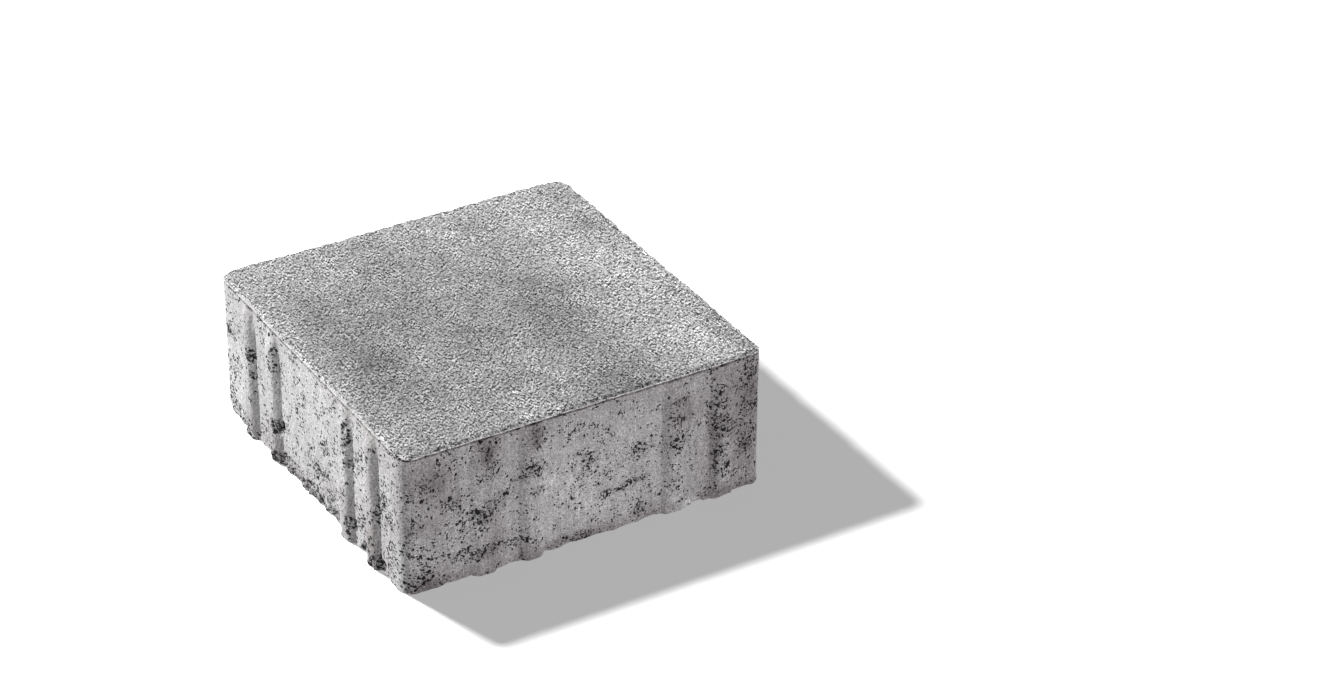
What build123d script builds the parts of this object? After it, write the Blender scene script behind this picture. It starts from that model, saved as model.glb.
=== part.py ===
from build123d import *
import os

# Concrete paving stone with spacer ribs, pressed as one piece in a mould that is lifted off upwards.
# Millimetres. The origin is the centre of the base and +Z points up to the wearing face.

# Body
body_side = 206.5          # square body without its ribs: a 210 mm laying module less the joint
body_height = 80.0         # thickness class of the stone
corner_radius = 7.2        # the four upright corners
edge_chamfer = 1.3         # small bevel round the wearing face

# Section of a spacer rib
rib_depth = 3.3            # how far the crest stands out of the face
rib_crest_width = 6.5      # flat of the crest
rib_flank_run = 4.1        # from an edge of the crest to the root, measured along the face
rib_crest_round = 0.7      # the two edges of the crest
rib_root_in = 6.0          # how far the rib reaches into the body that it is cast with

# Head of a rib, where it runs out into the face below the bevel
head_gap = 0.2             # from the bevel down to the tip of the head
head_length = 13.5         # from the tip down to the full section
tip_sink = 0.2             # how far the crest lies inside the face at the tip
head_bend_power = 2        # the crest sinks with this power of the way up the head, so slowly at first
head_stages = 4            # sections that carry the head's curve

# Places of the ribs on a face, seen from outside
pair_pitch = 28.2          # between the two ribs of a pair
pair_place_share = 0.267   # middle of the face to the middle of a pair, as a share of the body's side
near_offset = 1.8          # the ribs of the back and left faces stand this far right of the middle
far_offset = 9.3           # those of the front and right faces, so that the ribs of neighbours lie side by side

tip_height = body_height - edge_chamfer - head_gap
full_height = tip_height - head_length


def rib_section(sink):
    """Section of a rib with the face along X and the crest towards -Y, sunk into the face by `sink`."""
    half_crest = rib_crest_width / 2
    half_root = half_crest + rib_flank_run
    outline = Polyline(
        (-half_root, rib_root_in),
        (-half_root, sink),
        (-half_crest, sink - rib_depth),
        (half_crest, sink - rib_depth),
        (half_root, sink),
        (half_root, rib_root_in),
        close=True,
    )
    section = make_face(outline)
    crest_corners = section.vertices().sort_by(Axis.Y)[:2]
    return fillet(crest_corners, rib_crest_round)


def make_rib():
    """One rib at the middle of the front face: a straight shaft and a head that curves into the face."""
    shaft = extrude(rib_section(0), full_height)
    head_sections = []
    for stage in range(head_stages):
        way_share = stage / (head_stages - 1)
        sink = (rib_depth + tip_sink) * way_share**head_bend_power
        head_sections.append(Pos(0, 0, full_height + way_share * head_length) * rib_section(sink))
    head = loft(head_sections, ruled=True)
    return Pos(0, -body_side / 2, 0) * (shaft + head)


def rib_places(offset):
    """Places of a face's four ribs along the face: two pairs, moved to the right by `offset`."""
    pair_place = pair_place_share * body_side
    return [
        offset + side * pair_place + half * pair_pitch / 2
        for side in (-1, 1)
        for half in (-1, 1)
    ]


# The body, with the small bevel round its wearing face
body = extrude(RectangleRounded(body_side, body_side, corner_radius), body_height)
wearing_face = body.faces().sort_by(Axis.Z)[-1]
body = chamfer(wearing_face.edges(), edge_chamfer)

# The ribs of the front, right, back and left faces, each face a quarter turn on from the last
face_offsets = (far_offset, far_offset, near_offset, near_offset)
rib = make_rib()
ribs = []
for quarter, offset in enumerate(face_offsets):
    for place in rib_places(offset):
        ribs.append(Rot(0, 0, quarter * 90) * Pos(place, 0, 0) * rib)

stone = body + ribs

os.makedirs("parts", exist_ok=True)
export_step(stone, "parts/paving_stone.step")
print("solids", len(stone.solids()), "valid", stone.is_valid, "volume cm3", round(stone.volume / 1000, 1))
print("box", stone.bounding_box())
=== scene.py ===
# %% [markdown]
# Concrete paving stone
#
# The object is one square paving stone, pressed in a steel mould from earth-moist concrete. Its wearing
# face is rough, because the stamp leaves the sand open; its sides are smoother, because they slid along the
# mould wall. The CAD model gives the sizes, and this lesson replaces its plain solid with a surface that
# shows the grain, the pores, the crumbled edges and the spacer ribs.

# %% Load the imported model
import math
import bpy
import numpy as np
from mathutils import Euler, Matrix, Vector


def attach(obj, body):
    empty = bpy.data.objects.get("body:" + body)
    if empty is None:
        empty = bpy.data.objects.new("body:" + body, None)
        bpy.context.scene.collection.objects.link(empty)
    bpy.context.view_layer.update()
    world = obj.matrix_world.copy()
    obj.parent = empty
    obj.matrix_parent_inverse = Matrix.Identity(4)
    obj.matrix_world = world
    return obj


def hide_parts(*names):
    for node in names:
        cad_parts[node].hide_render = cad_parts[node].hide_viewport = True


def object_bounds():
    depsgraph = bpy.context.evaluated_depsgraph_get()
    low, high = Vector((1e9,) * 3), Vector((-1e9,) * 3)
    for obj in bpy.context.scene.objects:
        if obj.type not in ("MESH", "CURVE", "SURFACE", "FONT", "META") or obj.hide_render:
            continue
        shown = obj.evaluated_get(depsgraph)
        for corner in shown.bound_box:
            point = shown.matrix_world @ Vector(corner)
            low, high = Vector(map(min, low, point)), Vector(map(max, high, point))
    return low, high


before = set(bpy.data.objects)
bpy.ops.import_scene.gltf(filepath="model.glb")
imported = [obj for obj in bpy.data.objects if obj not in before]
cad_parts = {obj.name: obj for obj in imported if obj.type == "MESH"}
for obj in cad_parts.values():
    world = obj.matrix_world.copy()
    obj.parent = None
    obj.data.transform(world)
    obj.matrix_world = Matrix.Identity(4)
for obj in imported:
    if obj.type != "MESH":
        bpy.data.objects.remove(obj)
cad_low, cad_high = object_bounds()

print("CAD box in mm:", [round(1000 * v, 1) for v in (*cad_low, *cad_high)])

# %% [markdown]
# Sizes
#
# All shaping is done in millimetres, as on a mould drawing, and only the finished vertices are turned to
# metres. The outer sizes come from the CAD model's box, and the ribs repeat its values, so that the new
# surface lies on the old one.

# %% Sizes of the stone in millimetres
mm = 0.001
rib_depth = 3.3
half_side = cad_high[0] / mm - rib_depth
height = cad_high[2] / mm
corner_radius = 7.2

rib_crest_width = 6.5
rib_flank_run = 4.1
rib_tip_height = 78.5
rib_full_height = 65.0
rib_tip_sink = 0.2
rib_head_curve = 2.0
rib_crest_round_share = 0.10

# Places of the ribs: from a face's middle to a pair's, between the ribs of a pair, and the offset of all four
pair_place = 55.14
pair_pitch = 28.2
near_offset = 1.8
far_offset = 9.3
side_offsets = np.array([far_offset, far_offset, near_offset, near_offset])
side_names = ("front", "right", "back", "left")

cells_per_side = 196
ring_count = 4 * cells_per_side
print("side", round(2 * half_side, 1), "mm, height", round(height, 1), "mm, ring of", ring_count, "points")

# %% [markdown]
# Noise to shape the concrete with
#
# Concrete is uneven at every size, from clouds as wide as a hand to single grains of sand. Two kinds of
# noise are enough: a smooth one for swells and stains, and a cellular one for grains. Both are worked out
# from the place in space alone, so they run on over edges and corners with no seam, and give the same stone
# on every run.


# %% Noise functions
def scramble(ix, iy, iz, seed):
    """Mixes three lattice numbers and a seed, bit by bit, to a number from 0 to 1 that looks random."""
    mixed = (ix * 374761393 + iy * 668265263 + iz * 1442695041 + seed * 974634777) & 0xFFFFFFFF
    mixed = ((mixed ^ (mixed >> 13)) * 1274126177) & 0xFFFFFFFF
    mixed = mixed ^ (mixed >> 16)
    return (mixed & 0xFFFFFF) / 0xFFFFFF


def smooth_noise(points, size, seed):
    """Value noise from -1 to 1: random numbers on a lattice `size` mm wide, blended by 3t^2 - 2t^3."""
    scaled = points / np.asarray(size, float)
    corner = np.floor(scaled).astype(np.int64)
    part = scaled - corner
    part = part * part * (3 - 2 * part)
    total = np.zeros(points.shape[:-1])
    for dx, dy, dz in np.ndindex(2, 2, 2):
        weight = np.abs(1 - dx - part[..., 0]) * np.abs(1 - dy - part[..., 1]) * np.abs(1 - dz - part[..., 2])
        total += weight * scramble(corner[..., 0] + dx, corner[..., 1] + dy, corner[..., 2] + dz, seed)
    return 2 * total - 1


def cloud_noise(points, size, seed):
    """Three smooth noises, each half as wide and 0.6 times as strong as the last, scaled to -1 to 1."""
    total = sum(0.6 ** i * smooth_noise(points, size / 2 ** i, seed + i) for i in range(3))
    return total / (1 + 0.6 + 0.36)


def cell_noise(points, size, seed):
    """One random point per lattice cell: distance in mm to the nearest, and its own number from 0 to 1."""
    scaled = points / size
    corner = np.floor(scaled).astype(np.int64)
    nearest = np.full(points.shape[:-1], 9.0)
    number = np.zeros(points.shape[:-1])
    for dx, dy, dz in np.ndindex(3, 3, 3):
        ix, iy, iz = corner[..., 0] + dx - 1, corner[..., 1] + dy - 1, corner[..., 2] + dz - 1
        gap = np.sqrt(
            (ix + scramble(ix, iy, iz, seed) - scaled[..., 0]) ** 2
            + (iy + scramble(ix, iy, iz, seed + 1) - scaled[..., 1]) ** 2
            + (iz + scramble(ix, iy, iz, seed + 2) - scaled[..., 2]) ** 2
        )
        number = np.where(gap < nearest, scramble(ix, iy, iz, seed + 3), number)
        nearest = np.minimum(gap, nearest)
    return nearest * size, number


def soft_step(value, low, high):
    """0 below `low`, 1 above `high`, and 3t^2 - 2t^3 between them."""
    part = np.clip((value - low) / (high - low), 0, 1)
    return part * part * (3 - 2 * part)


# %% [markdown]
# Outline of the stone
#
# Seen from above, the stone is a square with rounded corners. One ring of points runs round it, from the
# middle of one corner arc to the next, and every row of the side uses the same ring. The points are evenly
# spaced, but the nearest ones are moved onto the lines where a rib's flank begins and ends, so that those
# edges stay crisp. Each point also knows the direction that leads straight out of the face, and how far
# along its own face it lies.


# %% Ring of points round the stone
def rib_edges(side_number):
    """Places along a side where a flank meets the face or the crest, in order."""
    middles = [
        side_offsets[side_number] + pair * pair_place + rib * pair_pitch / 2
        for pair in (-1, 1) for rib in (-1, 1)
    ]
    crest = rib_crest_width / 2
    root = crest + rib_flank_run
    return np.array([middle + edge for middle in middles for edge in (-root, -crest, crest, root)])


def outline_ring():
    """Walks along each rounded side. On the arcs the outward direction turns by distance over radius, on
    the straight it stays, and a point is its arc's centre plus the radius along that direction."""
    straight = 2 * (half_side - corner_radius)
    half_arc = math.pi / 4 * corner_radius
    length = straight + 2 * half_arc
    places, normals, alongs = [], [], []
    for quarter in range(4):
        edges = rib_edges(quarter) + straight / 2 + half_arc
        numbers = np.rint(edges * cells_per_side / length)
        walk = np.interp(np.arange(cells_per_side), [0, *numbers, cells_per_side], [0, *edges, length])
        turn = np.minimum(walk - half_arc, 0) / corner_radius
        turn = turn + np.maximum(walk - half_arc - straight, 0) / corner_radius
        along = np.clip(walk - half_arc, 0, straight) - straight / 2 + corner_radius * np.sin(turn)
        out = straight / 2 + corner_radius * np.cos(turn)
        lean = np.sin(turn)
        face = np.cos(turn)
        cosine = math.cos(quarter * math.pi / 2)
        sine = math.sin(quarter * math.pi / 2)
        places.append(np.stack([cosine * along + sine * out, sine * along - cosine * out], 1))
        normals.append(np.stack([cosine * lean + sine * face, sine * lean - cosine * face], 1))
        alongs.append(along)
    return np.concatenate(places), np.concatenate(normals), np.concatenate(alongs)


ring_place, ring_normal, ring_along = outline_ring()
ring_side = np.repeat(np.arange(4), cells_per_side)
print("ring:", ring_place.shape, "reaches", np.abs(ring_place).max().round(2), "mm")

# %% [markdown]
# Spacer ribs
#
# Each side carries two pairs of upright ribs that keep the joint open to the next stone. A rib is a low
# trapezium in section. Near the top it sinks into the face, because the mould's groove runs out there, so
# the wearing face keeps a clean edge. As a formula it is only a height above the face, which depends on the
# place along the face and on the height.


# %% Rib height above a face
def rib_height(along, up, side_number):
    """Distance to the nearest rib's middle, put through a trapezium that sinks into the face over the
    head, by the square of the way up it; below the face it counts as zero."""
    head = np.clip((up - rib_full_height) / (rib_tip_height - rib_full_height), 0, 1)
    sink = head ** rib_head_curve * (rib_depth + rib_tip_sink)
    from_pair = np.abs(np.abs(along - side_offsets[side_number]) - pair_place)
    from_rib = np.abs(from_pair - pair_pitch / 2)
    slope = (rib_crest_width / 2 + rib_flank_run - from_rib) / rib_flank_run
    rounded = slope - rib_crest_round_share * np.log1p(np.exp((slope - 1) / rib_crest_round_share))
    return np.maximum(rib_depth * np.clip(rounded, 0, 1) - sink, 0)


# %% [markdown]
# Profile of a side, from the base to the wearing face
#
# The profile is drawn once, as the distance that the surface lies inside the mould wall at each height. At
# the base the edge is left sharp. Below the wearing face there is a thin shadow line, then the fin of
# cement that was squeezed between mould and stamp, then the small bevel that the stamp pressed.

# %% Side profile: distance inside the mould wall and height, in millimetres
base_profile = [(8.0, 0.0), (0.2, 0.0), (0.05, 0.3), (0.0, 0.8)]
wall_heights = np.linspace(1.6, 76.4, 54)
edge_profile = [
    (0.00, 77.1), (0.30, 77.4), (0.55, 77.8), (0.50, 78.25), (0.08, 78.40), (-0.05, 78.60),
    (0.00, 78.95), (0.35, 79.15), (0.80, 79.25), (1.15, 79.45), (1.60, 79.78),
]
top_inset = 2.1
profile = base_profile + [(0.0, up) for up in wall_heights] + edge_profile + [(top_inset, height)]
profile_inset = np.array([inset for inset, up in profile])
profile_up = np.array([up for inset, up in profile])
row_count = len(profile)
print("profile rows:", row_count)

# Heights of the shadow line, of the fin and, for each side, of the upper edge of the cement skin
groove_low = 77.0
groove_top = 78.3
fin_top = 79.1
skin_tops = np.array([79.1, 79.1, 79.1, 79.5])

# The bevel is wider on the right and nearly missing at the back; the change is spread over the corner
bevel_width_shares = np.array([1.0, 1.2, 0.1, 1.0])
spread_points = 25
spread_weights = np.ones(spread_points) / spread_points
padded_shares = np.pad(bevel_width_shares[ring_side], spread_points // 2, "wrap")
ring_bevel = np.convolve(padded_shares, spread_weights, "valid")


def side_surface():
    """The ring carried up the profile: place = ring place - normal * inset + normal * rib height."""
    up = np.repeat(profile_up[:, None], ring_count, 1)
    inset = np.where(up > fin_top, ring_bevel[None, :], 1) * profile_inset[:, None]
    out = rib_height(ring_along[None, :], up, ring_side[None, :]) - inset
    flat = ring_place[None] + ring_normal[None] * out[..., None]
    return np.concatenate([flat, up[..., None]], 2)


side = side_surface()
side_up = side[..., 2]
side_along = np.repeat(ring_along[None], row_count, 0)
side_number = np.repeat(ring_side[None], row_count, 0)
print("side grid:", side.shape)

# %% [markdown]
# Wearing face
#
# The top has to meet the side's last row point for point, and still have square cells of even size, so that
# the grain looks the same all over. A Coons patch does that: it blends the four edges of the face towards
# each other and takes away the corners that were counted twice.


# %% Wearing face as a Coons patch
def coons_patch(ring):
    """Blend of front and back edge across, plus blend of left and right edge along, minus the bilinear
    blend of the four corners. The ring's points are the patch's border."""
    cells = cells_per_side
    front = ring[0:cells + 1]
    right = ring[cells:2 * cells + 1]
    back = ring[2 * cells:3 * cells + 1][::-1]
    left = np.concatenate([ring[3 * cells:], ring[:1]])[::-1]
    u = np.linspace(0, 1, cells + 1)[:, None, None]
    v = np.linspace(0, 1, cells + 1)[None, :, None]
    across = (1 - v) * front[:, None] + v * back[:, None]
    along = (1 - u) * left[None] + u * right[None]
    corners = (
        (1 - u) * (1 - v) * front[0] + u * (1 - v) * front[-1]
        + (1 - u) * v * back[0] + u * v * back[-1]
    )
    return across + along - corners


top = coons_patch(side[-1])
print("wearing face grid:", top.shape)

# %% [markdown]
# Marks that this stone shows
#
# Where the mould was filled loosely, the sand and grit did not close up, and a patch of open pores is left.
# Such patches gather on the ribs and along the base. Those of the two faces that the photograph shows are
# listed one by one; the other two faces get patches of the same kind at random places. The left face is more
# open than the others and has coarser pores, but the mould has rubbed the flanks of its ribs smooth.

# %% Patches of open pores: place along the face, height, half length, half height, strength
front_patches = [
    (-77, 47, 5, 4, 0.7), (-98, 38, 6, 6, 0.7), (-61, 36, 7, 5, 0.9), (-50, 39, 6, 4, 0.6),
    (-32, 52, 8, 5, 1.0), (-28, 39, 5, 2.5, 0.8), (-5, 53, 5, 3, 0.6), (0, 46, 3.5, 7, 0.8),
    (12, 61, 3, 4, 0.3), (30, 43, 9, 5, 0.8), (10, 23, 4, 2.4, 1.0), (18, 23.5, 4, 2.2, 0.9),
    (26, 24.5, 4, 2.2, 1.0), (33, 25, 4, 2.2, 1.0), (52, 66, 5, 3, 0.7), (51, 55, 5, 4, 0.6),
    (52, 42, 6, 4, 0.7), (76, 46, 6, 17, 0.75), (95, 52, 5, 6, 0.5), (93, 25, 6, 6, 0.7),
    (-91, 12, 5, 3.5, 0.7), (-63, 13.5, 13, 4, 0.7), (-40, 12, 8, 3, 0.5), (30, 7.5, 5, 4, 1.0),
    (48, 18, 5, 3.5, 0.7), (-8, 3, 16, 2.8, 0.9), (-57, 70, 6, 7, 0.5), (-56, 58, 5, 6, 0.7),
    (-29, 70, 5.5, 6, 0.5), (77, 22, 6, 8, 0.6), (60, 8, 12, 4, 0.4), (-96, 6, 8, 4, 0.6),
    (-87, 62, 14, 12, 0.3), (-70, 26, 20, 14, 0.2), (-90, 22, 12, 16, 0.3), (94, 46, 10, 40, 0.42),
]
left_patches = [
    (-92, 52, 4, 5, 0.8), (-63, 51, 3, 4, 1.6), (-62, 40, 2.5, 3, 1.3), (-57, 44, 3, 3, 0.6),
    (-34, 24, 4, 4, 1.6), (-35, 66, 3, 8, 0.9), (30, 53, 4, 5, 0.7), (17, 39, 5, 5, 0.7),
    (-25, 33, 4, 3, 0.6), (4, 20, 8, 7, 0.8), (17, 22, 7, 4, 0.7), (-24, 5, 12, 4.5, 0.8),
    (7, 4.5, 8, 4, 0.9), (25, 5, 7, 4, 0.8), (47, 63, 3.5, 8, 1.1), (57, 52, 5, 5, 0.6),
    (58, 18, 6, 8, 0.6), (48, 47, 3, 2.5, 1.2), (82, 44, 5, 5, 0.7), (89, 36, 3, 6, 0.6),
    (-94, 8, 7, 6, 0.7), (-85, 30, 6, 14, 0.4), (-50, 14, 5, 9, 0.2), (90, 16, 7, 6, 0.5),
    (48, 12, 4, 4, 1.4), (75, 70, 4, 6, 0.6), (78, 34, 3, 4, 0.8), (76, 4, 5, 5, 1.6), (72, 14, 5, 8, 0.3),
    (-35, 4, 4, 5, 1.4), (48, 3, 4, 3, 0.9), (-66, 5, 6, 4, 0.5), (0, 3, 14, 4, 1.0), (14, 7, 4, 6, 0.5),
    (-13, 6, 5, 5, 0.8), (20, 12, 6, 4, 0.7), (-84, 2, 16, 3, 0.3), (-20, 2, 14, 4, 0.9),
    (60, 2, 6, 4, 0.9), (88, 2, 12, 4, 0.4),
]

# For each side: pores all over it, how far the flanks of its ribs are closed, and how coarse its pores are
open_shares = np.array([-0.02, 0.02, 0.02, 0.12])
flank_closing_shares = np.array([0.0, 0.0, 0.0, 0.42])
coarseness = np.array([-1.6, 0.0, 0.0, 1.0])

# A patch is full up to one share of its oval and ends at the other; a noise moves that edge in and out
full_share = 0.4
end_share = 1.5
ragged_share = 0.9
ragged_width = 7.0

# Patches at random places on the right and back faces
rng = np.random.default_rng(11)
loose_count = 27
loose_reach = 96
loose_top = 76
low_power = 1.5


def loose_patches():
    """Random patches, most of them low on the face: the height is a random number to a power above one."""
    return [
        (
            rng.uniform(-loose_reach, loose_reach),
            loose_top * rng.random() ** low_power,
            rng.uniform(3, 10),
            rng.uniform(2.5, 8),
            rng.uniform(0.5, 1),
        )
        for _ in range(loose_count)
    ]


side_patches = (front_patches, loose_patches(), loose_patches(), left_patches)


def patch_mask(points, along, up, number):
    """Strongest of all patches at a point: strength times a ragged oval, 1 inside and fading outside."""
    ragged = ragged_share * cloud_noise(points, ragged_width, 71)
    mask = np.zeros(along.shape)
    for index, patches in enumerate(side_patches):
        for place, level, length, tall, strength in patches:
            oval = np.hypot((along - place) / length, (up - level) / tall) + ragged
            inside = soft_step(end_share - oval, 0, end_share - full_share)
            mask = np.maximum(mask, strength * inside * (number == index))
    return mask


def flank_mask(along, number):
    """1 on a rib's flanks, 0 on its crest and on the face, with a soft change of one millimetre between."""
    soft = 0.5
    from_rib = np.abs(np.abs(np.abs(along - side_offsets[number]) - pair_place) - pair_pitch / 2)
    from_crest = from_rib - rib_crest_width / 2
    past_root = from_crest - rib_flank_run
    return soft_step(from_crest, -soft, soft) * (1 - soft_step(past_root, -soft, soft))


side_open = patch_mask(side, side_along, side_up, side_number) + open_shares[side_number]
side_open = side_open - flank_closing_shares[side_number] * flank_mask(side_along, side_number)
print("share of the sides with open pores:", round(float((side_open > 0.3).mean()), 3))

# %% [markdown]
# Relief of the sides
#
# The mould wall dragged fine upright scratches into the skin while the stone was pushed out. Open patches
# are deeper, with ragged hollows. The base edge has a thin burr that has crumbled here and there, and the
# fin below the wearing face is wavy, and worn on the right and at the back. All of it moves the points
# along the outward direction only, so nothing folds over.

# %% Relief of the sides: heights and depths, with the width of their noise, in millimetres
swell_height = 0.16
swell_width = 22.0
ripple_height = 0.08
ripple_width = 6.0
drag_depth = 0.06
drag_size = (2.6, 2.6, 40.0)
hollow_depth = 1.1
hollow_width = 4.4
burr_height = 0.8
burr_width = 5.0
burr_reach = 3.5
fin_wave_height = 0.16
fin_wave_widths = (2.6, 8.0)
fin_back = 0.1
fin_wear_depths = np.array([0.0, 1.4, 0.5, 0.0])
fin_wear_width = 3.4
wall_blend = 2.0

# %% Crumbled depth along the base of each side, then chips: side, place along it, half length, height, depth
crumble_depths = np.array([0.35, 0.8, 0.8, 0.6])
crumble_width = 5.0
crumble_reach = 9.0
chip_edge_width = 4.0
base_chips = [
    ("left", 11, 4, 5.0, 2.0), ("left", 20, 5, 3.0, 1.4), ("left", 28, 3, 3.0, 1.2),
    ("left", -99, 4, 4.0, 1.3), ("left", 2, 4, 3.0, 1.2), ("left", 59, 4, 2.5, 1.2),
    ("left", 78, 3, 3.0, 1.0), ("left", -32, 3, 3.0, 0.9), ("front", 50, 6, 5.0, 1.6),
    ("front", 78, 6, 5.0, 1.6), ("front", -70, 4, 2.0, 1.0), ("front", -12, 4, 2.0, 0.9),
    ("front", 36, 6, 2.0, 1.0), ("front", 65, 4, 4.0, 1.8), ("front", 93, 5, 2.0, 1.0),
    ("right", -40, 8, 4.0, 2.0), ("right", 52, 6, 3.0, 1.6), ("back", 12, 8, 4.0, 2.2),
    ("back", -66, 6, 3.0, 1.6),
]


def side_relief(points, along, up, number, open_pores):
    """Outward movement in mm: gentle swells, upright drag marks, ragged hollows in the open patches, and
    a burr, crumbling and chips towards the base edge."""
    swell = swell_height * smooth_noise(points, swell_width, 21)
    ripple = ripple_height * smooth_noise(points, ripple_width, 22)
    drag = drag_depth * smooth_noise(points, drag_size, 23)
    hollow = soft_step(cloud_noise(points, hollow_width, 41) + 0.7 * open_pores, 0.62, 1.0)
    low = 1 - soft_step(up, 0.5, crumble_reach)
    crumbling = cloud_noise(points, crumble_width, 51) + 0.75 * low
    crumble = crumble_depths[number] * soft_step(crumbling, 0.55, 1.1)
    chip_edge = 0.8 * cloud_noise(points, chip_edge_width, 55)
    for name, place, length, tall, depth in base_chips:
        oval = np.hypot((along - place) / length, up / tall) + chip_edge
        chip = depth * soft_step(1.15 - oval, 0, 0.5) * (number == side_names.index(name))
        crumble = np.maximum(crumble, chip)
    burr = burr_height * (0.6 + smooth_noise(points, burr_width, 56)) * (1 - soft_step(up, 0.5, burr_reach))
    return swell + ripple + drag + burr - hollow_depth * hollow - crumble, hollow


def fin_relief(points, number):
    """Outward movement of the fin in mm: two waves of noise, set back a little, less the wear."""
    wave = sum(
        fin_wave_height * smooth_noise(points, width, 61 + i)
        for i, width in enumerate(fin_wave_widths)
    )
    worn = np.maximum(cloud_noise(points, fin_wear_width, 63) + 0.2, 0)
    return wave - fin_back - fin_wear_depths[number] * worn


side_out, side_hollow = side_relief(side, side_along, side_up, side_number, side_open)
wall_share = soft_step(groove_top - profile_up, 0, wall_blend)[:, None]
side_out = wall_share * side_out + (1 - wall_share) * fin_relief(side, side_number)
side_out[0] = 0
side_moved = side.copy()
side_moved[..., :2] += ring_normal[None] * side_out[..., None]
side_moved[..., :2] = np.clip(side_moved[..., :2], -half_side - rib_depth, half_side + rib_depth)
print("side relief from", side_out.min().round(2), "to", side_out.max().round(2), "mm")

# %% [markdown]
# Relief of the wearing face
#
# The face is made of sand and fine grit. Grains of about three and five millimetres stand up as low domes,
# and the stamp has pressed the highest ones flat. Where a grain has been torn out, a pit is left. The right
# part of the face is rougher, and its rim is worn. The finer sand is left to the bump of the material. The
# relief fades out down the bevel, so that the edge of the face is as uneven as the face itself, and the
# shadow line below wavers a little.

# %% Relief of the wearing face: grains and pits in millimetres, each with what the rough part adds to it
small_spacing = 2.7
small_radius = 2.0
small_height = 0.14
small_height_more = 0.09
large_spacing = 5.2
large_radius = 2.4
large_height = 0.13
large_height_more = 0.18
pit_spacing = 6.1
pit_radius = 1.4
pit_depth = 0.5
pit_depth_more = 0.4
pressed_down = 0.18
pressed_down_more = 0.15
rough_start = 20.0
rough_full = 95.0
face_swell_height = 0.14
face_swell_width = 30.0
face_ripple_height = 0.08
face_ripple_width = 9.0

# The rim: its width, the wear of the near, right and back edges and where it begins and is full, counted
# from the edge; then the shadow line: how far it wavers, and from which height on
rim_width = 3.0
near_wear = 0.3
right_wear = 2.2
back_wear = 1.4
wear_width = 3.4
wear_start = 9.0
wear_full = 4.0
line_waver = 0.35
waver_low = 74.0
waver_width = 5.0


# %% Relief of the wearing face
def top_relief(points):
    """Movement in mm, never above zero: domes that fall off with the square of the distance from each
    grain, pits where a grain is missing, gentle swells, and wear along the rim."""
    rough_share = soft_step(points[..., 0], rough_start, rough_full)
    gap, number = cell_noise(points, small_spacing, 81)
    dome = 1 - (gap / small_radius) ** 2
    small = (small_height + small_height_more * rough_share) * (0.4 + 0.6 * number) * dome
    gap, number = cell_noise(points, large_spacing, 85)
    dome = np.maximum(1 - (gap / large_radius) ** 2, 0)
    large = (large_height + large_height_more * rough_share) * (number > 0.55) * dome
    gap, number = cell_noise(points, pit_spacing, 89)
    pit = (pit_depth + pit_depth_more * rough_share) * (number > 0.45) * soft_step(pit_radius - gap, 0, 1.0)
    swell = face_swell_height * smooth_noise(points, face_swell_width, 91)
    swell = swell + face_ripple_height * smooth_noise(points, face_ripple_width, 92)
    from_middle = np.abs(points[..., :2]).max(-1)
    rim_share = soft_step(from_middle, half_side - top_inset - rim_width, half_side - top_inset)
    edge_shares = soft_step(points[..., :2], half_side - wear_start, half_side - wear_full)
    right_share, back_share = np.moveaxis(edge_shares, -1, 0)
    wear = np.maximum(near_wear, np.maximum(right_wear * right_share, back_wear * back_share))
    worn = rim_share * wear * np.maximum(cloud_noise(points, wear_width, 95) + 0.15, 0)
    return np.minimum(small + large - pit + swell - pressed_down - pressed_down_more * rough_share, 0) - worn


top_moved = top.copy()
top_moved[..., 2] += top_relief(top)
bevel_share = soft_step(profile_up, groove_top, height - 0.1)[:, None]
side_moved[..., 2] += bevel_share * top_relief(side * (1, 1, 0) + (0, 0, height))
edge_share = soft_step(profile_up, waver_low, groove_low)[:, None] * (1 - bevel_share)
side_moved[..., 2] += line_waver * edge_share * cloud_noise(side * (1, 1, 0), waver_width, 64)
print("wearing face relief down to", round(float((top_moved[..., 2] - height).min()), 2), "mm")

# %% [markdown]
# Tone of the concrete
#
# The filling drawer of the press travels along one direction and leaves broad bands of paler and darker
# concrete on the wearing face. The bands are soft ovals, and so are the stains of the two sides that are
# seen, with painted shade among them on the rib heads. The sides are darker where they are open and towards
# the base.

# %% Broad bands of tone on the wearing face: centre x, centre y, half width, half length, change
tone_patches = [
    (78, 10, 25, 140, 0.32), (-101, 0, 8, 120, 0.14), (-73, 2, 14, 44, -0.24), (-78, -46, 13, 26, -0.20),
    (29, -12, 20, 46, -0.26), (-28, -8, 46, 54, -0.17), (26, -100, 17, 26, -0.40), (18, 78, 9, 26, 0.20),
    (-64, 78, 16, 22, 0.16), (88, 52, 9, 10, -0.42), (0, 102, 100, 6, 0.12), (-76, -82, 12, 9, -0.10),
    (-30, 74, 12, 30, -0.10), (79, -75, 12, 16, 0.10), (62, 62, 9, 22, 0.16), (87, 92, 8, 9, -0.24),
    (-10, -76, 24, 24, -0.03), (66, -14, 14, 14, -0.10), (95, -70, 5, 20, -0.16), (-4, 70, 8, 30, 0.06),
    (-90, 90, 14, 16, 0.16), (-58, 94, 20, 12, 0.08), (26, 92, 26, 14, 0.11), (-92, 58, 10, 18, 0.10),
    (101, 0, 5, 120, 0.18),
]
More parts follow.
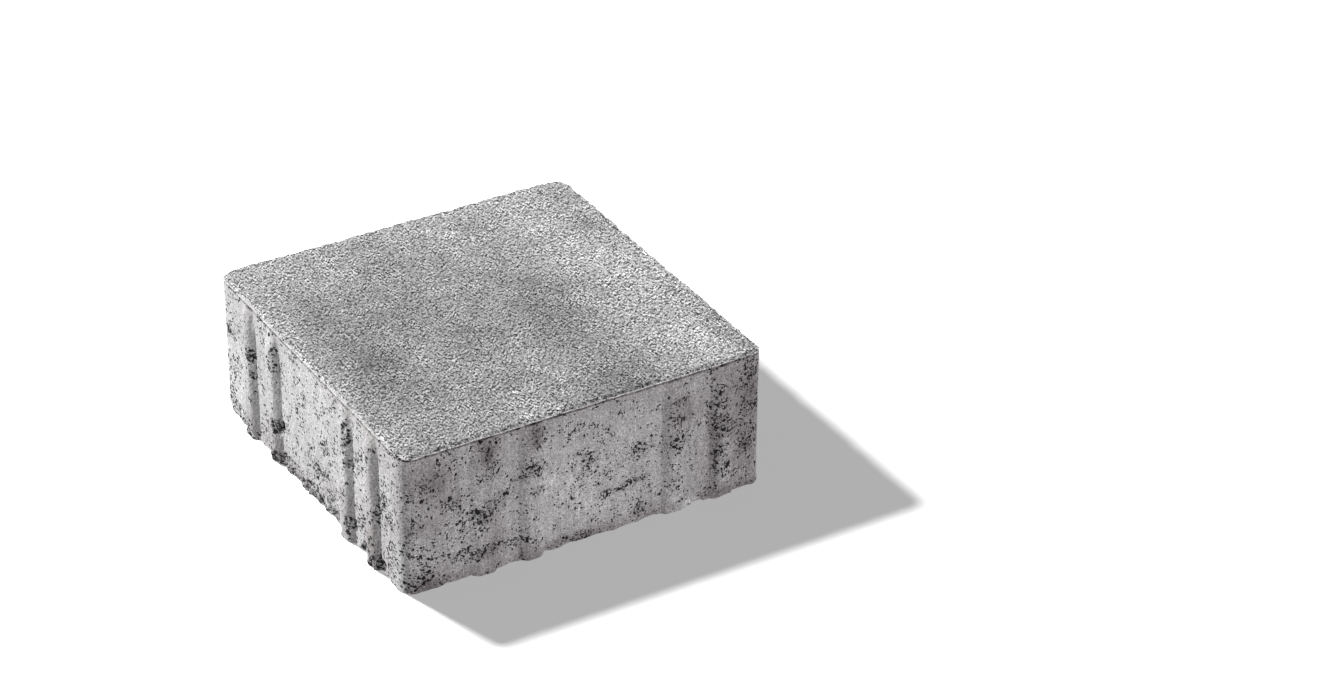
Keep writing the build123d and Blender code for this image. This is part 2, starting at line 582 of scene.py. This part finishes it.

# Stains of the front and left sides, and painted shade on the rib heads near the top: place along the face,
# height, half length, half height, change
front_tones_and_shade = [
    (-87, 64, 15, 13, -0.48), (-78, 48, 8, 8, -0.14), (-101, 36, 6, 8, -0.18), (-91, 4, 11, 10, -0.40),
    (-57, 70, 6, 8, -0.38), (-57, 46, 6, 60, -0.08), (-59, 36, 9, 8, -0.14), (-61, 11, 11, 9, -0.24),
    (-30, 70, 6, 8, -0.36), (-32, 52, 7, 7, -0.12), (-35, 6, 7, 9, -0.20), (-12, 36, 12, 22, 0.16),
    (4, 22, 22, 12, 0.10), (18, 66, 36, 11, -0.08), (0, 47, 4, 7, -0.12), (33, 44, 12, 5, -0.12),
    (54, 62, 7, 13, -0.20), (28, 56, 12, 10, 0.06), (22, 26, 16, 3, -0.10), (0, 3, 26, 6, -0.14),
    (58, 2, 8, 3, 0.45), (77, 52, 8, 18, -0.24), (75, 14, 9, 30, -0.16), (93, 26, 6, 7, -0.16),
    (96, 58, 9, 18, -0.20), (34, 6, 8, 6, -0.10), (102, 40, 4, 60, -0.18), (93, 34, 9, 44, -0.32),
    (-75, 14, 30, 12, -0.12), (60, 56, 8, 9, -0.18), (68, 56, 4, 9, -0.10), (-65, 30, 2.5, 40, 0.24),
    (-50, 20, 6, 14, -0.14), (-71, 18, 6, 12, 0.14), (-22, 38, 5, 14, 0.12), (45, 46, 3, 20, -0.15),
    (79, 20, 3, 12, 0.20), (73, 30, 2.5, 18, -0.24), (74, 55, 2.5, 9, 0.25), (-88, 36, 9, 8, -0.26),
    (-72, 44, 10, 9, -0.16), (20, 76, 90, 4, -0.10), (82, 70, 8, 10, -0.20), (65, 26, 5, 14, -0.15),
    (-91, 15, 9, 6, 0.18), (75, 5, 6, 6, -0.18), (-25, 66, 5, 5, 0.16), (-57, 71, 4.5, 6, -0.16),
    (-30.5, 72, 5.5, 7, -0.26), (74, 44, 2.5, 24, -0.14),
]
left_tones_and_shade = [
    (0, 56, 30, 22, 0.04), (-12, 3, 22, 7, -0.08), (30, 4, 8, 6, -0.06), (-39, 4, 9, 9, -0.16),
    (72, 6, 9, 10, -0.12), (43, 5, 8, 9, -0.06), (-66, 5, 8, 9, -0.06), (-84, 40, 9, 40, 0.06),
    (94, 40, 7, 70, -0.08), (11, 3, 1.8, 4, -0.45), (20, 3, 4, 3, 0.12), (26, 3, 4, 4, -0.30),
    (-67, 18, 7, 12, -0.10), (-39, 18, 7, 14, -0.20), (43, 18, 7, 14, -0.28), (71, 18, 7, 16, -0.28),
    (73, 50, 7, 20, -0.10), (-67, 40, 6, 14, 0.08), (-96, 40, 7, 60, 0.22), (-85, 22, 7, 20, 0.14),
    (-15, 3, 6, 4, -0.25), (-55, 4, 5, 4, -0.20), (-35, 46, 4, 24, 0.20), (75, 54, 4, 8, -0.20),
    (66, 75, 4, 4, -0.26), (35, 34, 4, 4, -0.22), (25, 18, 5, 5, -0.18), (94, 34, 4, 5, -0.16),
    (86, 68, 5, 8, -0.12), (-68, 10, 6, 5, -0.16), (16, 22, 20, 8, -0.06), (-64, 75, 4, 4, -0.26),
    (-34, 74, 3, 6, -0.16), (46, 75, 4, 4, -0.28), (75, 75, 4, 4, -0.20), (16, 3, 2.5, 3, 0.40),
    (-35, 2, 6, 3, -0.12), (4, 2, 4, 3, -0.12),
]

# For each side: painted shade in the shadow line, paleness of the fin (pale cement with a painted highlight),
# tone of the bevel, darkness of the foot
groove_painted_shade_shares = np.array([0.62, 0.50, 0.50, 0.55])
fin_pale_and_highlight_shares = np.array([0.9, 0.5, 0.5, 0.25])
bevel_tone_shares = np.array([1.0, 1.3, 0.9, 0.85])
foot_dark_shares = np.array([0.28, 0.08, 0.08, 0.03])
foot_low = 1.0
foot_high = 8.0

# Streaks and clouds: change of tone, with the size of their noise in millimetres
streak_share = 0.07
fine_streak_size = (3.0, 3.0, 60.0)
broad_streak_size = (12.0, 12.0, 50.0)
side_cloud_share = 0.08
side_cloud_width = 14.0
top_cloud_share = 0.11
top_cloud_width = 16.0
top_mottle_share = 0.15
top_mottle_width = 6.0


def soft_ovals(ovals, x, y):
    """Sum of soft ovals, each its change times exp(-r^2)."""
    return sum(
        change * np.exp(-((x - place_x) / wide) ** 2 - ((y - place_y) / long) ** 2)
        for place_x, place_y, wide, long, change in ovals
    )


def top_tone(points):
    """1 plus the bands and some cloud."""
    cloud = top_cloud_share * smooth_noise(points, top_cloud_width, 101)
    mottle = top_mottle_share * smooth_noise(points, top_mottle_width, 102)
    return 1 + soft_ovals(tone_patches, points[..., 0], points[..., 1]) + (cloud + mottle)


def side_tone(points, along, up, number):
    """1 plus soft ovals on the two seen faces, some of them painted shade on the rib heads, upright streaks,
    cloud and a darker foot; the shadow line below the fin gets painted shade, and the fin is pale cement with
    a painted highlight."""
    fine_streak = streak_share * smooth_noise(points, fine_streak_size, 111)
    broad_streak = streak_share * smooth_noise(points, broad_streak_size, 112)
    cloud = side_cloud_share * smooth_noise(points, side_cloud_width, 113)
    foot = foot_dark_shares[number] * (1 - soft_step(up, foot_low, foot_high))
    tone = 1 + (fine_streak + broad_streak) + cloud - foot
    # The ovals of the front and left faces hold stains and painted shade on the rib heads
    tone += (number == side_names.index("front")) * soft_ovals(front_tones_and_shade, along, up)
    tone += (number == side_names.index("left")) * soft_ovals(left_tones_and_shade, along, up)
    # Painted shade in the shadow line below the fin, stronger or weaker with a noise
    groove = soft_step(up, groove_low, groove_low + 0.4) * (1 - soft_step(up, groove_top, groove_top + 0.1))
    groove = groove * np.maximum(groove_painted_shade_shares[number] + 0.6 * cloud_noise(points, 3.0, 115), 0)
    # The fin is painted pale: partly pale cement, partly a painted highlight where it catches the light
    broken = np.maximum(0.9 + 1.2 * cloud_noise(points, 4.0, 114), 0.1)
    fin = soft_step(up, groove_top, groove_top + 0.1) * fin_pale_and_highlight_shares[number] * broken
    bevel = top_tone(points) * bevel_tone_shares[number]
    return np.where(up > skin_tops[number], bevel, tone * (1 - groove + fin))


top_shade = top_tone(top)
side_shade = side_tone(side, side_along, side_up, side_number)
print("tone of the wearing face", top_shade.min().round(2), "to", top_shade.max().round(2))

# %% [markdown]
# One closed mesh
#
# The side's rows come first, then the inside of the wearing face; the face's border is the side's last row
# itself, so the seam is closed. Under the stone, the first row is filled with one flat face.


# %% Build the mesh
def stone_mesh():
    """Side rows and then the inner points of the top; quads between neighbours; one polygon below."""
    cells = cells_per_side
    vertices = np.concatenate([side_moved.reshape(-1, 3), top_moved[1:-1, 1:-1].reshape(-1, 3)]) * mm
    rows = np.arange(row_count * ring_count).reshape(row_count, ring_count)
    after = np.roll(rows, -1, 1)
    walls = np.stack([rows[:-1], after[:-1], after[1:], rows[1:]], -1).reshape(-1, 4)
    grid = np.zeros((cells + 1, cells + 1), np.int64)
    grid[1:-1, 1:-1] = row_count * ring_count + np.arange((cells - 1) ** 2).reshape(cells - 1, cells - 1)
    rim = np.append(rows[-1], rows[-1, 0])
    grid[:, 0] = rim[0:cells + 1]
    grid[cells, :] = rim[cells:2 * cells + 1]
    grid[::-1, cells] = rim[2 * cells:3 * cells + 1]
    grid[0, ::-1] = rim[3 * cells:4 * cells + 1]
    lid = np.stack([grid[:-1, :-1], grid[1:, :-1], grid[1:, 1:], grid[:-1, 1:]], -1).reshape(-1, 4)
    quads = np.concatenate([walls, lid])
    foot = rows[0, ::-1]
    mesh = bpy.data.meshes.new("paving_stone_surface")
    mesh.vertices.add(len(vertices))
    mesh.vertices.foreach_set("co", vertices.ravel())
    loops = np.concatenate([quads.ravel(), foot])
    starts = np.append(np.arange(len(quads)) * 4, len(quads) * 4)
    mesh.loops.add(len(loops))
    mesh.loops.foreach_set("vertex_index", loops)
    mesh.polygons.add(len(starts))
    mesh.polygons.foreach_set("loop_start", starts)
    mesh.update(calc_edges=True)
    mesh.validate()
    mesh.shade_smooth()
    mesh.set_sharp_from_angle(angle=math.radians(28))
    return mesh


def write_attribute(mesh, name, side_values, top_values):
    """Stores one number per vertex, in the same order as the vertices."""
    values = np.concatenate([side_values.ravel(), top_values[1:-1, 1:-1].ravel()])
    attribute = mesh.attributes.new(name, "FLOAT", "POINT")
    attribute.data.foreach_set("value", values.astype(np.float32))


mesh = stone_mesh()
no_value = np.zeros(top.shape[:2])
skin_edge = 0.2
side_skin = soft_step(skin_tops[side_number] - side_up, 0, skin_edge)
write_attribute(mesh, "skin", side_skin, no_value)
write_attribute(mesh, "open_pores", side_open, no_value)
write_attribute(mesh, "coarse", coarseness[side_number], no_value)
write_attribute(mesh, "hollow", side_hollow * wall_share, no_value)
write_attribute(mesh, "tone", side_shade, top_shade)
stone = bpy.data.objects.new("paving_stone_cast", mesh)
bpy.context.collection.objects.link(stone)
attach(stone, "root")
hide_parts("paving_stone")
print("triangles:", sum(len(polygon.vertices) - 2 for polygon in mesh.polygons))

# %% [markdown]
# Helpers for materials
#
# Colours are written as on a screen and turned to the linear values that the renderer works in. One
# function adds any node: plain values fill its inputs in order, named ones set a property or an input of
# that name. A MapRange node takes a value, the two ends of its range, and what these two ends become.


# %% Helpers for materials
def colour(hex_text):
    """sRGB hex to linear: v / 12.92 near black, ((v + 0.055) / 1.055) ^ 2.4 above."""
    parts = [int(hex_text[i:i + 2], 16) / 255 for i in (1, 3, 5)]
    return [*(v / 12.92 if v <= 0.04045 else ((v + 0.055) / 1.055) ** 2.4 for v in parts), 1.0]


def add_node(tree, kind, *values, **named):
    """Adds a node and gives its outputs. Values fill the inputs in order, named ones an input or a
    property of that name; a socket is linked, anything else is set."""
    node = tree.nodes.new("ShaderNode" + kind)
    sockets = {socket.identifier.replace(" ", "_"): socket for socket in node.inputs}
    filled = list(zip(node.inputs, values))
    for name, value in named.items():
        if name in sockets:
            filled.append((sockets[name], value))
        else:
            setattr(node, name, value)
    for socket, value in filled:
        if isinstance(value, bpy.types.NodeSocket):
            tree.links.new(value, socket)
        else:
            socket.default_value = value
    return node.outputs


# %% [markdown]
# Pressed concrete
#
# The material is grey cement with sand and fine grit, matt all over. On the wearing face the open sand
# gives a salt-and-pepper grain: pits darkened with painted shade, dark grains and a few pale ones. On the
# sides a pale skin of cement covers the grains, broken by small pores and short cracks, painted nearly
# black as shade inside them. Both are written into one material, and the vertex attribute "skin" says which
# of the two shows. The patterns are as wide as the sand, the grit and the pores really are.

# %% Pressed concrete: widths of its patterns in millimetres
swerve_width = 2.2
swerve_reach = 1.9
grain_width = 1.2
sand_width = 1.0
grit_width = 1.2
small_pit_width = 1.7
calm_width = 9.0
cluster_width = 9.0
mottle_width = 5.0
crack_bend_width = 3.2
crack_gap_width = 2.6
streak_width = 1.3
fine_width = 0.8
blotch_width = 1.8

# %% Pressed concrete: places and attributes
concrete = bpy.data.materials.new("pressed_concrete")
concrete.use_nodes = True
tree = concrete.node_tree
tree.nodes.clear()

place = add_node(tree, "TexCoord")["Object"]
place = add_node(tree, "VectorMath", place, Scale=1 / mm, operation="SCALE")[0]
skin = add_node(tree, "Attribute", attribute_name="skin")["Fac"]
open_pores = add_node(tree, "Attribute", attribute_name="open_pores")["Fac"]
coarse = add_node(tree, "Attribute", attribute_name="coarse")["Fac"]
hollow = add_node(tree, "Attribute", attribute_name="hollow")["Fac"]
tone = add_node(tree, "Attribute", attribute_name="tone")["Fac"]

# Places moved by some tenths of a millimetre give grains and pores ragged outlines
swerve = add_node(tree, "TexNoise", place, Scale=1 / swerve_width, Detail=2.5, Roughness=0.65)["Color"]
swerve = add_node(tree, "VectorMath", swerve, (0.5, 0.5, 0.5), operation="SUBTRACT")[0]
ragged = add_node(tree, "VectorMath", swerve, [swerve_reach] * 3, place, operation="MULTIPLY_ADD")[0]

# %% Pressed concrete: open sand of the wearing face
grain = add_node(tree, "TexVoronoi", ragged, Scale=1 / grain_width)
grain_number = add_node(tree, "SeparateColor", grain["Color"])[0]
sand = add_node(tree, "TexNoise", place, Scale=1 / sand_width, Detail=1.5, Roughness=0.7)[0]

# Taking away the sand's mean before and behind a place leaves short strokes of grain, without clouds
fine_sand = sand
for step in ((0.6, 1.75, 0.0), (-0.6, -1.75, 0.0)):
    beside = add_node(tree, "VectorMath", place, step, operation="ADD")[0]
    sand_beside = add_node(tree, "TexNoise", beside, Scale=1 / sand_width, Detail=1.5, Roughness=0.7)[0]
    fine_sand = add_node(tree, "Math", sand_beside, -0.5, fine_sand, operation="MULTIPLY_ADD")[0]
grit = add_node(tree, "TexNoise", place, Scale=1 / grit_width, Detail=1.0)[0]
pit_noise = add_node(tree, "TexNoise", place, Scale=1 / small_pit_width, Detail=1.0)[0]
pit = add_node(tree, "MapRange", pit_noise, 0.57, 0.61, 0.0, 1.0, interpolation_type="SMOOTHSTEP")[0]
pale = add_node(tree, "MapRange", grain_number, 0.97, 0.99, 0.0, 0.15, interpolation_type="SMOOTHSTEP")[0]

top_light = add_node(tree, "MapRange", fine_sand, -0.17, 0.07, 0.25, 1.24)[0]
sand_tone = add_node(tree, "MapRange", sand, 0.38, 0.54, 0.55, 1.22)[0]
top_light = add_node(tree, "Math", top_light, sand_tone, operation="MULTIPLY")[0]
grit_tone = add_node(tree, "MapRange", grit, 0.30, 0.70, 0.85, 1.15)[0]
top_light = add_node(tree, "Math", top_light, grit_tone, operation="MULTIPLY")[0]
grain_tone = add_node(tree, "MapRange", grain_number, 0.0, 1.0, 0.85, 1.15)[0]
top_light = add_node(tree, "Math", top_light, grain_tone, operation="MULTIPLY")[0]

# The grain is calm in some places and strong in others
contrast_noise = add_node(tree, "TexNoise", place, Scale=1 / calm_width, Detail=2.0)[0]
contrast_share = add_node(tree, "MapRange", contrast_noise, 0.36, 0.64, 0.45, 1.30)[0]
top_light = add_node(
    tree, "Mix", Factor_Float=contrast_share, A_Float=0.86, B_Float=top_light, clamp_factor=False
)[0]
# The pits are painted dark: painted shade inside them
pit_painted_shade = add_node(tree, "MapRange", pit, 0.0, 1.0, 1.0, 0.28)[0]
top_light = add_node(tree, "Math", top_light, pit_painted_shade, operation="MULTIPLY")[0]
top_light = add_node(tree, "Math", top_light, pale, operation="ADD")[0]

top_mm = add_node(tree, "Math", grit, 0.6, operation="MULTIPLY")[0]
top_mm = add_node(tree, "Math", grain["Distance"], -0.30, top_mm, operation="MULTIPLY_ADD")[0]
top_mm = add_node(tree, "Math", pit, -0.40, top_mm, operation="MULTIPLY_ADD")[0]

# %% Pressed concrete: pores of the sides
# The pores are drawn out along Y, the way that the filling drawer travels
drawn_out = add_node(tree, "VectorMath", ragged, (1.0, 0.62, 1.0), operation="MULTIPLY")[0]
cluster = add_node(tree, "TexNoise", place, Scale=1 / cluster_width, Detail=2.0)[0]
holed_share = add_node(tree, "MapRange", cluster, 0.38, 0.66, 0.04, 0.34)[0]
holed_share = add_node(tree, "Math", open_pores, 0.60, holed_share, operation="MULTIPLY_ADD")[0]

# In each pattern of cells a share of the cells holds a hole: those whose own number, plus the share,
# reaches the limit. The columns are the size of a cell, the widest hole as a share of it, how much rarer
# its holes are, what a coarse side adds, the largest share of holes, and how dark the painted shade in
# them is. A hole grows to its full width over a small share past the limit.
pore_rows = (
    (1.2, 0.46, 0.08, -0.02, 0.62, 0.95),
    (2.0, 0.44, 0.15, 0.05, 0.44, 1.0),
    (3.0, 0.42, 0.22, 0.05, 0.40, 1.0),
)
growth_share = 0.04
soft_edge_share = 0.05
# The hollows of the relief start the pore mask, so they get a little painted shade too
pore = add_node(tree, "Math", hollow, 0.2, operation="MULTIPLY")[0]
for cell_size, widest_share, rarer, coarser, most_share, weight in pore_rows:
    cell = add_node(tree, "TexVoronoi", drawn_out, Scale=1 / cell_size)
    cell_number = add_node(tree, "SeparateColor", cell["Color"])[0]
    hole = add_node(tree, "Math", holed_share, most_share, operation="MINIMUM")[0]
    hole = add_node(tree, "Math", coarse, coarser, hole, operation="MULTIPLY_ADD")[0]
    hole = add_node(tree, "Math", hole, cell_number, operation="ADD")[0]
    hole = add_node(tree, "MapRange", hole, 1 + rarer, 1 + rarer + growth_share, 0.0, widest_share)[0]
    hole = add_node(tree, "Math", hole, cell["Distance"], operation="SUBTRACT")[0]
    hole = add_node(
        tree, "MapRange", hole, 0.0, soft_edge_share, 0.0, weight, interpolation_type="SMOOTHSTEP"
    )[0]
    pore = add_node(tree, "Math", pore, hole, operation="MAXIMUM")[0]

# Short crooked cracks lie where a noise passes its middle value, and a second noise leaves gaps in them
level_line = add_node(tree, "TexNoise", ragged, Scale=1 / crack_bend_width, Detail=1.0)[0]
crack = add_node(tree, "Math", level_line, 0.5, operation="SUBTRACT")[0]
crack = add_node(tree, "Math", crack, operation="ABSOLUTE")[0]
crack = add_node(tree, "MapRange", crack, 0.065, 0.035, 0.0, 1.0, interpolation_type="SMOOTHSTEP")[0]
crack_noise = add_node(tree, "TexNoise", place, Scale=1 / crack_gap_width, Detail=1.0)[0]
crack_share = add_node(tree, "Math", holed_share, 0.35, crack_noise, operation="MULTIPLY_ADD")[0]
crack_share = add_node(
    tree, "MapRange", crack_share, 0.70, 0.76, 0.0, 1.0, interpolation_type="SMOOTHSTEP"
)[0]
crack = add_node(tree, "Math", crack, crack_share, operation="MULTIPLY")[0]
pore = add_node(tree, "Math", pore, crack, operation="MAXIMUM")[0]

# %% Pressed concrete: cement skin of the sides
upright = add_node(tree, "VectorMath", place, (1.0, 1.0, 0.06), operation="MULTIPLY")[0]
streak = add_node(tree, "TexNoise", upright, Scale=1 / streak_width, Detail=2.0)[0]
fine = add_node(tree, "TexNoise", place, Scale=1 / fine_width, Detail=1.0, Roughness=0.6)[0]
blotch = add_node(tree, "TexNoise", ragged, Scale=1 / blotch_width, Detail=1.0)[0]
mottle = add_node(tree, "TexNoise", place, Scale=1 / mottle_width, Detail=3.0, Roughness=0.6)[0]

side_light = add_node(tree, "MapRange", fine, 0.30, 0.70, 0.55, 1.45)[0]
for unevenness, spread in ((streak, 0.10), (blotch, 0.16), (mottle, 0.12)):
    uneven_tone = add_node(tree, "MapRange", unevenness, 0.30, 0.70, 1 - spread, 1 + spread)[0]
    side_light = add_node(tree, "Math", side_light, uneven_tone, operation="MULTIPLY")[0]

# The coarser the pores of a side, the more even is the skin between them
even_share = add_node(tree, "Math", coarse, 0.30, operation="MULTIPLY", use_clamp=True)[0]
side_light = add_node(tree, "Mix", Factor_Float=even_share, A_Float=side_light, B_Float=1.0)[0]
# Pores, cracks and hollows are painted nearly black: painted shade inside them
pore_painted_shade = add_node(tree, "MapRange", pore, 0.0, 1.0, 1.0, 0.03)[0]
side_light = add_node(tree, "Math", side_light, pore_painted_shade, operation="MULTIPLY")[0]
smudge_tone = add_node(tree, "MapRange", open_pores, 0.0, 1.0, 1.0, 0.85)[0]
side_light = add_node(tree, "Math", side_light, smudge_tone, operation="MULTIPLY")[0]

blotch_mm = add_node(tree, "Math", blotch, 0.6, operation="MULTIPLY")[0]
side_mm = add_node(tree, "Math", pore, -0.7, blotch_mm, operation="MULTIPLY_ADD")[0]

# %% Pressed concrete: grey, relief and shader
light = add_node(tree, "Mix", Factor_Float=skin, A_Float=top_light, B_Float=side_light)[0]
light = add_node(tree, "Math", light, tone, operation="MULTIPLY")[0]
warm = add_node(tree, "MapRange", tone, 0.98, 0.60, 0.0, 1.0)[0]
cement = add_node(
    tree, "Mix", data_type="RGBA", Factor_Float=warm, A_Color=colour("#c0bfbf"), B_Color=colour("#c2bcbd")
)[2]
grey = add_node(tree, "Mix", data_type="RGBA", Factor_Float=skin, A_Color=colour("#c0c0c0"), B_Color=cement)
paint = add_node(tree, "VectorMath", grey[2], Scale=light, operation="SCALE")[0]
relief = add_node(tree, "Mix", Factor_Float=skin, A_Float=top_mm, B_Float=side_mm)[0]
bump = add_node(tree, "Bump", Strength=0.8, Distance=mm, Height=relief)[0]
shader = add_node(
    tree, "BsdfPrincipled", Base_Color=paint, Roughness=0.92, IOR=1.5, Specular_IOR_Level=0.25, Normal=bump
)[0]
add_node(tree, "OutputMaterial", shader)
mesh.materials.append(concrete)
print("pressed concrete:", len(tree.nodes), "nodes")

# %% [markdown]
# Floor
#
# The stone lies on plain white paper. What the camera sees of the paper is white where the lamp reaches it
# and an even grey in the shadow; what the stone gets back from it is one weak even glow, so that the paper
# does not wash out the shaded sides.

# %% Floor
floor_reach = 1.1
shadow_level = 0.41
glow_level = 0.30
floor_mesh = bpy.data.meshes.new("floor_sheet")
floor_corners = [(x * floor_reach, y * floor_reach, 0) for x, y in ((-1, -1), (1, -1), (1, 1), (-1, 1))]
floor_mesh.from_pydata(floor_corners, [], [(0, 1, 2, 3)])
floor = bpy.data.objects.new("floor", floor_mesh)
bpy.context.collection.objects.link(floor)

paper = bpy.data.materials.new("white_paper")
paper.use_nodes = True
tree = paper.node_tree
tree.nodes.clear()
rays = add_node(tree, "LightPath")
seen = add_node(tree, "Math", rays["Is Camera Ray"], rays["Is Glossy Ray"], operation="MAXIMUM")[0]
seen = add_node(tree, "Math", seen, rays["Is Transmission Ray"], operation="MAXIMUM")[0]
sheet = add_node(tree, "BsdfDiffuse", colour("#4d4d4d"))[0]
shade = add_node(tree, "Emission", colour("#ffffff"), shadow_level)[0]
lit_sheet = add_node(tree, "AddShader", sheet, shade)[0]
glow = add_node(tree, "Emission", colour("#ffffff"), glow_level)[0]
mixed = add_node(tree, "MixShader", seen, glow, lit_sheet)[0]
add_node(tree, "OutputMaterial", mixed)
floor_mesh.materials.append(paper)
print("floor:", 2 * floor_reach, "m wide")

# %% [markdown]
# Light
#
# A low sun lamp from the far left rakes over the wearing face, so that each grain shows, and lights the
# left side but not the flanks that its ribs turn to the viewer. The world and a wide weak lamp from the
# front fill the shaded side. Together they light a level surface so that a colour renders about as it is
# written. A low lamp would throw a very long shadow, so the paper has a small lamp of its own, close above
# the stone, and light linking keeps the two apart.

# %% Lamps and world
room_level = 0.34
world = bpy.data.worlds.new("soft_room")
bpy.context.scene.world = world
world.use_nodes = True
tree = world.node_tree
tree.nodes.clear()
rays = add_node(tree, "LightPath")
level = add_node(tree, "Math", rays["Is Camera Ray"], room_level, operation="MAXIMUM")[0]
sky = add_node(tree, "Background", colour("#ffffff"), level)[0]
add_node(tree, "OutputWorld", sky)


def add_lamp(name, kind, only_on, energy):
    """A lamp that lights one object only."""
    lamp = bpy.data.objects.new(name, bpy.data.lights.new(name, kind))
    lamp.data.energy = energy
    bpy.context.collection.objects.link(lamp)
    receivers = bpy.data.collections.new(name + "_on")
    receivers.objects.link(only_on)
    lamp.light_linking.receiver_collection = receivers
    return lamp


for name, tint, (x, y, z), strength, angle in (
    ("key_sun", "#ffffff", (-0.63, 0.70, 0.34), 1.48, 5.0),
    ("front_fill", "#fffafc", (0.35, -0.87, 0.30), 0.365, 25.0),
):
    sun = add_lamp(name, "SUN", stone, strength * math.pi)
    sun.data.color = colour(tint)[:3]
    sun.data.angle = math.radians(angle)
    sun.rotation_euler = Euler((math.atan2(math.hypot(x, y), z), 0, math.atan2(y, x) + math.pi / 2))

paper_lamp = add_lamp("paper_lamp", "POINT", floor, 1000)
paper_lamp.location = (-0.167, 0.165, 0.404)
paper_lamp.data.shadow_soft_size = 0.028
paper_lamp.data.use_nodes = True
tree = paper_lamp.data.node_tree
tree.nodes.clear()
even = add_node(tree, "LightFalloff", 1.0)["Constant"]
add_node(tree, "OutputLight", add_node(tree, "Emission", colour("#ffffff"), even)[0])

# %% [markdown]
# Camera
#
# The camera was worked out from the stone's own edges in the photograph, so that the two pictures lie on
# each other. The colours are shown as they are, with no film curve.

# %% Camera, as in the photograph
camera_data = bpy.data.cameras.new("camera")
camera_data.sensor_width = 36.0
camera_data.sensor_fit = "HORIZONTAL"
camera_data.lens = 101.36
camera_data.clip_end = 50
camera = bpy.data.objects.new("camera", camera_data)
camera.location = (-0.77351, -1.45108, 1.06614)
camera.rotation_euler = Euler([math.radians(v) for v in (58.565, -0.523, -30.884)])
bpy.context.collection.objects.link(camera)
bpy.context.scene.camera = camera
bpy.context.scene.view_settings.view_transform = "Standard"
print("camera:", round(camera_data.lens, 1), "mm lens,", round(camera.location.length, 2), "m away")
